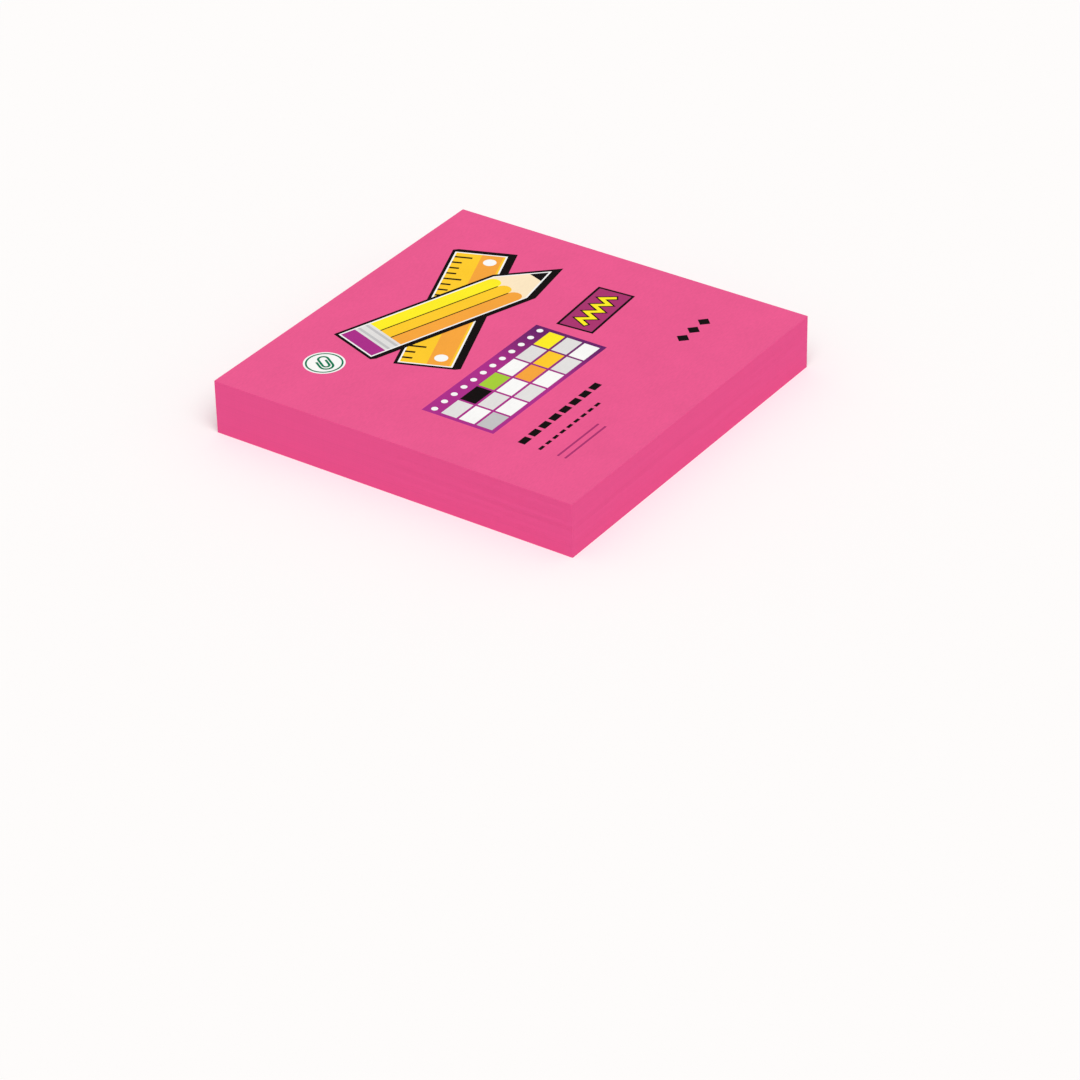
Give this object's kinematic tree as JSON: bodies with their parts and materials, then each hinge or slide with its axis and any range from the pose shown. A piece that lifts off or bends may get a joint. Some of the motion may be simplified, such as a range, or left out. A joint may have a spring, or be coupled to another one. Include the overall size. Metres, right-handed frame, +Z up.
{
  "type": "sticky note pad",
  "caption": "Square pad of sticky notes, cut flush on every side and held together by the glue along the top edge, with a printed cover sheet and a plain backing sheet.",
  "frame": {"origin": "middle of the pad's underside, on the surface it lies on", "axes": "+X along the lines of print, +Y up the page towards the glued edge, +Z up through the notes"},
  "size_m": [0.076, 0.076, 0.0106],
  "materials": {
    "cover_paper": "matte",
    "note_paper": "matte",
    "backing_paper": "matte"
  },
  "bodies": {
    "root": {"cover_sheet": "cover_paper", "note_pages": "note_paper", "backing_sheet": "backing_paper"}
  },
  "joints": []
}
